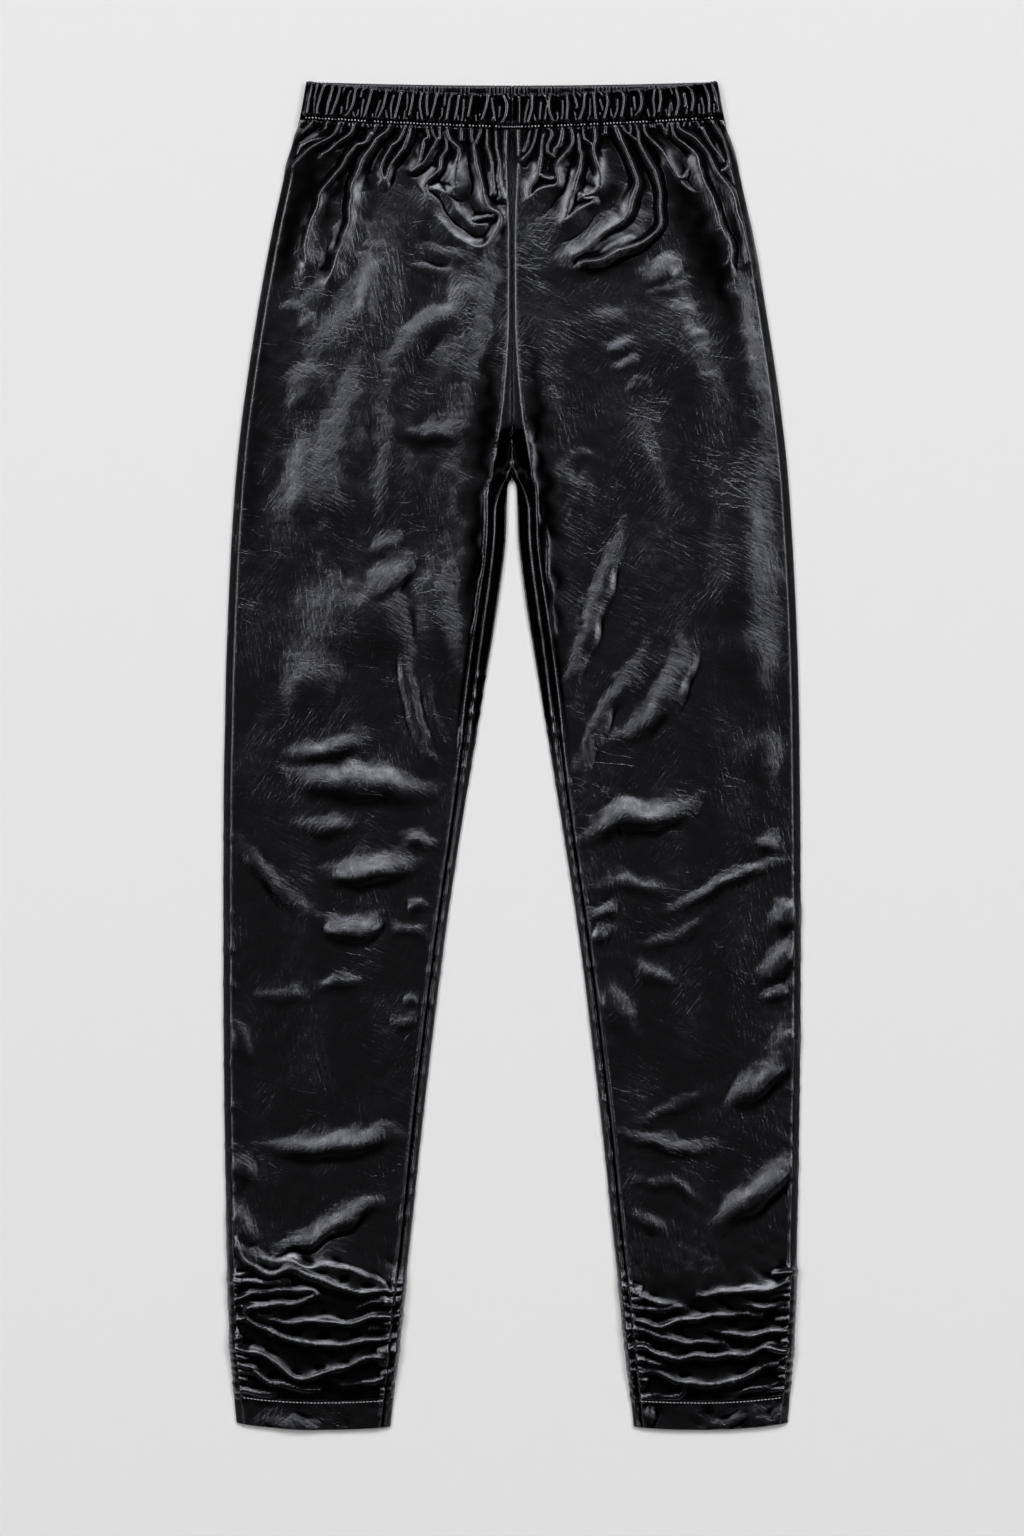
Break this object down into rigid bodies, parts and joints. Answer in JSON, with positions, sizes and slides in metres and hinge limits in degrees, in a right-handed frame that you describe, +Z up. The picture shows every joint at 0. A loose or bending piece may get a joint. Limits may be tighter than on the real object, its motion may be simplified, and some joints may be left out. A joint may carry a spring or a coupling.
{
  "type": "coated leggings",
  "caption": "Coated leggings laid flat, front up: gathered elastic waist casing, centre seams, inseams and side seams, long tapered legs with ruched ankles and turned hems.",
  "frame": {"origin": "on the table, under the middle of the garment's outline", "axes": "+Y from the hems to the waist, +Z up out of the table through the front of the garment, +X to the wearer's left"},
  "size_m": [0.4106, 0.96, 0.0128],
  "materials": {
    "shell": "glossy coated",
    "thread": "satin"
  },
  "bodies": {
    "root": {"front_left": "shell", "front_right": "shell", "back_left": "shell", "back_right": "shell", "hem_front_left": "shell", "hem_front_right": "shell", "hem_back_left": "shell", "hem_back_right": "shell", "waistband_front_left": "shell", "waistband_front_right": "shell", "waistband_back_left": "shell", "waistband_back_right": "shell"}
  },
  "joints": []
}
